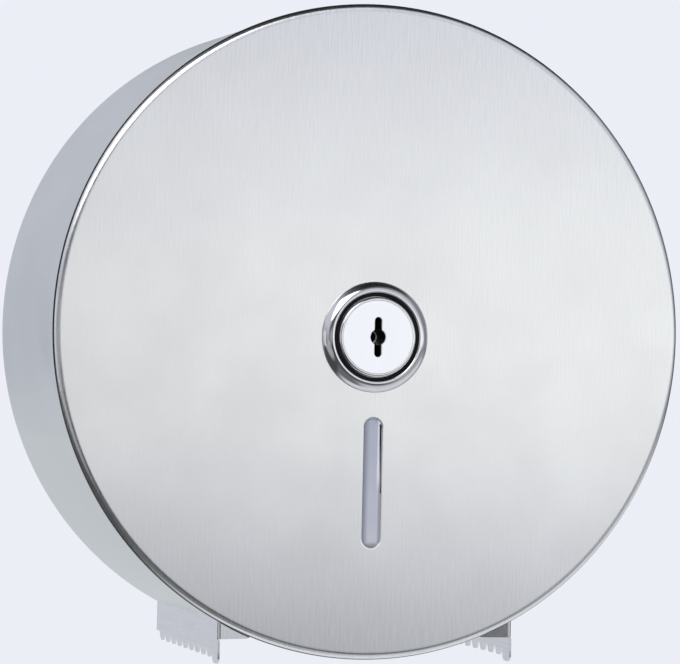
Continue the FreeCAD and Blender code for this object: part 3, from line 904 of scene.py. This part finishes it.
def nut(node, look, bore, across, segments, **options):
    """Hexagonal nut with a flat at the top, its corners chamfered at both ends."""
    low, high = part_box(node)
    face_share, lead_share, chamfer_angle = 0.95, 0.12, math.radians(30.0)
    flat_r, corner_r = face_share * across / 2, across / math.sqrt(3)
    chamfer = (corner_r - flat_r) * math.tan(chamfer_angle)
    lead = lead_share * (high.y - low.y)
    shares = [index / 6 for index in range(7)]
    front = [(flat_r + (corner_r - flat_r) * part, low.y + chamfer * part) for part in shares]
    back = [(flat_r + (corner_r - flat_r) * part, high.y - chamfer * part) for part in shares]
    bored = [
        (bore + lead, high.y), (bore, high.y - lead), (bore, low.y + lead), (bore + lead, low.y),
    ]

    def hexagonal(radius, angle, _):
        folded = (angle + HEX_SIDE / 2) % HEX_SIDE - HEX_SIDE / 2
        return min(radius, across / 2 / math.cos(folded))

    outline = front + back[::-1] + bored
    turned(node, "cover", look, outline, segments=segments, shape=hexagonal, **options)


def build_hub():
    low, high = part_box("roll_hub")
    barrel, bore, flange = 21.0 * MM, 18.5 * MM, 2.2 * MM
    groove_half, groove_depth, groove_side = 1.75 * MM, 0.6 * MM, 0.5 * MM
    shoulder_y = high.y - flange
    corners = [
        (bore, low.y), (barrel, low.y), (barrel, shoulder_y), (high.x, shoulder_y),
        (high.x, high.y), (bore, high.y),
    ]
    outline = rounded(corners, [radius * MM for radius in (0.3, 1.6, 0.8, 0.7, 0.4, 0.3)], 6)

    def grooved(radius, angle, y):
        """Four grooves along the barrel, short of its flange."""
        on_barrel = barrel - 0.3 * MM <= radius <= barrel + 0.01 * MM
        if not on_barrel or y > shoulder_y - 0.5 * MM:
            return radius
        away = abs((angle + QUARTER / 2) % QUARTER - QUARTER / 2) * barrel
        share = min(max((groove_half - away) / groove_side, 0.0), 1.0)
        return radius - groove_depth * share * share * (3 - 2 * share)

    turned("roll_hub", "hub", hub_plastic, outline, lock_z, 2 * BIG_ROUND, shape=grooved)
    spindle_bore = 14.06 * MM
    inner_ring("hub_rear_bush", "hub", nylon, spindle_bore, 0.3 * MM)
    inner_ring("hub_front_bush", "hub", nylon, spindle_bore, 0.3 * MM)
    inner_ring("hub_thrust_washer", "base", nylon, 14.4 * MM)
    inner_ring("hub_retaining_ring", "base", dark_metal, 13.3 * MM, **SPLIT_RING)


def build_spindle():
    low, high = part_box("spindle_tube")
    outer, bore = high.x, high.x - 2.0 * MM
    groove_y, groove = low.y + 1.0 * MM, 0.7 * MM
    corners = [
        (bore, low.y), (outer, low.y), (outer, groove_y), (outer - groove, groove_y),
        (outer - groove, groove_y + 1.0 * MM), (outer, groove_y + 1.0 * MM), (outer, high.y),
        (bore, high.y),
    ]
    outline = rounded(corners, [0.2 * MM, 0.05 * MM] + [0.1 * MM] * 6, 3)
    turned("spindle_tube", "base", spindle_metal, outline, lock_z, SMALL_ROUND)

    low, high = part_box("spindle_catch")
    half_x, half_z = 5.2 * MM, 10.2 * MM
    slot = panel(-half_x, half_x, lock_z - half_z, lock_z + half_z, 0.5 * MM)
    plate(
        "spindle_catch", "base", spindle_metal, circle(high.x, lock_z, SMALL_ROUND),
        eased(low.y, high.y, 0.5 * MM, 0.3 * MM, -1),
        [(slot, eased(low.y, high.y, 0.3 * MM, 0.2 * MM))],
    )
    inner_ring("spindle_flange", "base", spindle_metal, 14.05 * MM, 0.4 * MM)

    low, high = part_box("spindle_rivets")
    head_r, shank, head = 4.0 * MM, 2.0 * MM, 1.0 * MM
    across = high.x - head_r
    outline = [(head_r + grow, y) for grow, y in quarter_bend(head_r, head, low.y, 7)]
    outline += [(head_r, low.y + head), (shank, low.y + head), (shank, high.y), (0.0, high.y)]
    places = [(side * across, lock_z + rise * across) for side in (-1, 1) for rise in (-1, 1)]
    turned("spindle_rivets", "base", fastener_metal, outline, segments=48, places=places)


def build_lock_back():
    low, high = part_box("lock_housing")
    bore, body_r, flange_y = 12.06 * MM, 15.0 * MM, low.y + 1.0 * MM
    first_y, last_y = face_y + sheet + 0.3 * MM, high.y - 0.9 * MM
    pitch = 1.5 * MM
    outline = [(bore, low.y), (high.x, low.y), (high.x, flange_y), (body_r, flange_y)]
    outline += thread_line(body_r, pitch, first_y, last_y, 8)
    outline += [(body_r - 0.9 * MM, high.y), (bore, high.y)]
    thread = threaded(body_r, pitch, 0.7 * MM, first_y, last_y)
    turned("lock_housing", "cover", nickel_metal, outline, lock_z, SMALL_ROUND, shape=thread)
    inner_ring("lock_washer", "cover", fastener_metal, body_r + 0.2 * MM)
    nut("lock_nut", fastener_metal, body_r + 0.05 * MM, 34.0 * MM, 192, centre_z=lock_z)
    inner_ring("core_retaining_ring", "lock", dark_metal, 10.8 * MM, **SPLIT_RING)

    low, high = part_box("locking_bar")
    outer = panel(low.x, high.x, low.z, high.z, 0.9 * MM)
    edge = eased(low.y, high.y, 0.4 * MM, 0.3 * MM, -1)
    plate("locking_bar", "lock", spindle_metal, outer, edge)


def build_window_fixing():
    low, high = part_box("window_frame")
    sight = stadium(11.0 * MM, -39.0 * MM, -103.0 * MM)
    places = [(0.0, -31.5 * MM), (0.0, -110.5 * MM)]
    holes = [(sight, eased(low.y, high.y, 0.15 * MM, 0.3 * MM))]
    for _, z in places:
        holes.append((circle(1.7 * MM, z, 32), eased(low.y, high.y, 0.1 * MM, 0.1 * MM)))
    outer = panel(low.x, high.x, low.z, high.z, 2.0 * MM)
    edge = eased(low.y, high.y, 0.2 * MM, 0.3 * MM, -1)
    plate("window_frame", "cover", bar_metal, outer, edge, holes)

    low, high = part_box("window_studs")
    shank, foot, foot_y, pitch = 1.5 * MM, 2.4 * MM, low.y + 0.7 * MM, 0.5 * MM
    last_y = high.y - 0.3 * MM
    outline = [(0.0, low.y), (foot, low.y), (foot, foot_y - 0.1 * MM), (foot - 0.1 * MM, foot_y)]
    outline += thread_line(shank, pitch, foot_y, last_y, 6)
    outline += [(shank - 0.35 * MM, high.y), (0.0, high.y)]
    thread = threaded(shank, pitch, 0.25 * MM, foot_y + 0.01 * MM, last_y)
    turned(
        "window_studs", "cover", fastener_metal, outline, segments=32, shape=thread, places=places
    )
    nut("window_nuts", fastener_metal, 1.55 * MM, 5.5 * MM, 96, places=places)


build_hub()
build_spindle()
build_lock_back()
build_window_fixing()


# CAD nodes that keep their shape

carried = {
    "cover_stop_tabs": bar_metal,
    "lock_core": core_plastic,
    "locking_bar_screw": fastener_metal,
    "back_plate": plate_metal,
}
for node, look in carried.items():
    dress(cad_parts[node], look)


# Camera at the photograph's viewing angle


def turn(degrees, axis):
    return Matrix.Rotation(math.radians(degrees), 3, axis)


def add_camera():
    image_width = 680.0
    focal_pixels = 3249.0
    # The middle of the drum's face from the camera: right, down and forward, in drum radii
    offset = Vector((0.1073, -0.0005, 9.8982)) * drum_radius
    base = Matrix(((1, 0, 0), (0, 0, -1), (0, 1, 0)))
    roll, tilt, heading = 1.21, -0.47, 17.64
    world_to_camera = turn(roll, "Z") @ turn(tilt, "X") @ base @ turn(heading, "Z")
    right, down, forward = world_to_camera
    place = -(world_to_camera.transposed() @ offset) + Vector((0, face_y, 0))
    camera = bpy.data.objects.new("camera", bpy.data.cameras.new("camera"))
    axes = Matrix((right, -down, -forward)).transposed().to_4x4()
    camera.matrix_world = Matrix.Translation(place) @ axes
    camera.data.lens = focal_pixels / image_width * camera.data.sensor_width
    camera.data.clip_start = 0.01
    bpy.context.scene.collection.objects.link(camera)
    bpy.context.scene.camera = camera


# Lamps, world and floor

SEEN_TONE = 0.90         # backdrop and far floor, to the eye
SOFT_TONE = 0.84         # world, as soft light on everything
STUDIO_TONE = 0.62       # world, mirrored in metal, before its lit and dark places
DARKEST_TONE = 0.02      # world, mirrored in metal, where its dark places meet
FLOOR_TONE = 0.84        # floor, mirrored in metal, before its dark places


def add_lamp(name, place, target, size, power):
    """Square lamp; size in metres, power in watts."""
    light = bpy.data.lights.new(name, "AREA")
    light.size = size
    light.energy = power
    lamp = bpy.data.objects.new(name, light)
    lamp.location = place
    lamp.rotation_mode = "QUATERNION"
    lamp.rotation_quaternion = (Vector(target) - Vector(place)).to_track_quat("-Z", "Y")
    bpy.context.scene.collection.objects.link(lamp)


def add_world():
    """Pale backdrop to the eye; soft light; and for metal a lit studio with a few dark places."""
    world = bpy.data.worlds.new("studio")
    world.use_nodes = True
    nodes = Nodes(world.node_tree)
    path = nodes.add("LightPath").outputs
    direction = nodes.add("TexCoord").outputs["Generated"]
    x, y, z = nodes.split(direction)

    def toward(way, widest, narrowest):
        """1 near a direction and 0 far from it, between two angles in degrees."""
        node = nodes.add("VectorMath")
        node.operation = "DOT_PRODUCT"
        nodes.give(node.inputs[0], direction)
        node.inputs[1].default_value = Vector(way).normalized()
        limits = [math.cos(math.radians(angle)) for angle in (widest, narrowest)]
        return nodes.fade(node.outputs["Value"], *limits)

    front = toward((0.302, -0.953, 0.0), 62, 30)

    # Bright level band ahead, weaker above and dark below, and dimmer left of the middle
    beam = nodes.math("MULTIPLY_ADD", nodes.fade(z, 0.01, 0.18), -0.46, 0.57)
    beam = nodes.math("MULTIPLY_ADD", nodes.fade(z, -0.015, -0.16), -1.07, beam)
    beam = nodes.math("MULTIPLY", beam, front)
    dim = nodes.math("MULTIPLY", nodes.fade(x, 0.24, 0.04), front)
    behind = nodes.math("MULTIPLY", nodes.fade(y, 0.08, 0.30), nodes.fade(y, 0.87, 0.70))
    left_of_front = nodes.math(
        "MULTIPLY", toward((-0.30, -0.953, 0.0), 30, 12), nodes.fade(z, -0.12, -0.04)
    )
    overhead = nodes.chain(
        "MULTIPLY", nodes.fade(z, 0.50, 0.86), nodes.fade(x, -0.75, -0.25),
        nodes.fade(y, 0.30, 0.08),
    )
    front_light = nodes.math("MULTIPLY_ADD", dim, -0.18, beam)

    # Each lit or dark place and what it adds to the studio's tone
    parts = (
        (front_light, 1.0),
        (toward((-0.72, -0.30, 0.62), 50, 20), 0.12),       # lit, upper left
        (toward((0.03, -1.0, -0.12), 15, 5), -0.30),        # dark, ahead and just below level
        (toward((-0.85, -0.35, -0.15), 28, 10), -0.30),     # dark, left
        (left_of_front, -0.50),
        (toward((0.93, 0.30, 0.25), 58, 25), -0.36),        # dark, right
        (behind, -0.60),
        (overhead, -0.60),
        (toward((-0.15, 0.98, 0.0), 40, 20), 0.12),         # lit, straight behind
    )
    mirrored = STUDIO_TONE
    for part, weight in parts:
        mirrored = nodes.math("MULTIPLY_ADD", part, weight, mirrored)
    mirrored = nodes.math("MAXIMUM", mirrored, DARKEST_TONE)
    glossy = nodes.math("MAXIMUM", path["Is Glossy Ray"], path["Is Transmission Ray"])
    unseen = nodes.mix(glossy, SOFT_TONE, mirrored, "Float")
    background = nodes.tree.nodes["Background"].inputs
    warmth = nodes.fade(front_light, 0.28, 0.56)
    tint = nodes.mix(warmth, (0.935, 0.95, 1.03), (0.995, 1.005, 0.985))
    nodes.give(background["Color"], tint)
    strength = nodes.mix(path["Is Camera Ray"], unseen, SEEN_TONE, "Float")
    nodes.give(background["Strength"], strength)
    bpy.context.scene.world = world


def add_floor():
    """Round pale floor below the dispenser that fades into the background."""
    floor_z = -0.42
    mesh_data = bmesh.new()
    rings = [
        [(x, y, floor_z) for x, y in circle(radius, count=SMALL_ROUND)(0.0)]
        for radius in (0.3, 0.9, 1.6, 2.4)
    ]
    mesh_data.faces.new(add_rings(mesh_data, rings)[0])
    floor = add_object("floor", mesh_data)
    look = Surface("pale_floor")
    grain = look.noise(look.place, 30.0)
    look.set(Base_Color=look.mix(grain, (0.80, 0.81, 0.82), (0.84, 0.85, 0.86)), Roughness=0.9)
    path = look.add("LightPath").outputs
    x, y, _ = look.split(look.place)

    # Dark places that only metal mirrors, named by where they lie from the drum
    leftward = look.math("MULTIPLY", look.fade(x, -0.10, -0.36, 0.76), look.fade(y, 0.12, -0.05))
    beside = look.math("MULTIPLY", look.fade(x, 0.12, -0.06, 0.66), look.fade(y, -0.26, -0.36))
    ahead = look.fade(y, -0.20, -0.95, 0.74)
    rearward = look.fade(y, 0.05, 0.30, 0.14)
    rightward = look.fade(x, 0.9, 2.0, 0.50)
    dark = look.chain("MAXIMUM", ahead, leftward, rearward, rightward, beside)

    # Far ahead, both sides of the floor are less dark than its middle
    aside = look.fade(look.math("ABSOLUTE", x), 0.42, 0.64, 0.38)
    relief = look.math("MULTIPLY", aside, look.fade(y, -0.60, -0.90))
    mirrored = look.math("ADD", look.math("SUBTRACT", FLOOR_TONE, dark), relief)

    # The eye sees the glow only far out, so the floor near the drum keeps its shadow
    glossy = path["Is Glossy Ray"]
    glow = look.add("Emission")
    look.give(glow.inputs["Color"], (0.955, 0.975, 1.0))
    look.give(glow.inputs["Strength"], look.mix(glossy, SEEN_TONE, mirrored, "Float"))
    far = look.fade(look.length(x, y), 0.7, 2.2)
    seen = look.math("MULTIPLY", far, path["Is Camera Ray"])
    shown = look.add("MixShader")
    ends = (look.math("MAXIMUM", seen, glossy), look.shader.outputs[0], glow.outputs[0])
    for socket, value in zip(shown.inputs, ends):
        look.give(socket, value)
    look.give(look.output.inputs["Surface"], shown.outputs[0])
    dress(floor, look)


add_camera()
add_world()
add_floor()
add_lamp("key", (-0.75, -1.85, 1.3), (0.0, -0.1, 0.0), 1.35, 14.6)
add_lamp("low_left", (-1.6, -0.6, -0.1), (-0.1, -0.1, -0.1), 0.6, 0.55)

bpy.context.scene.view_settings.view_transform = "Standard"
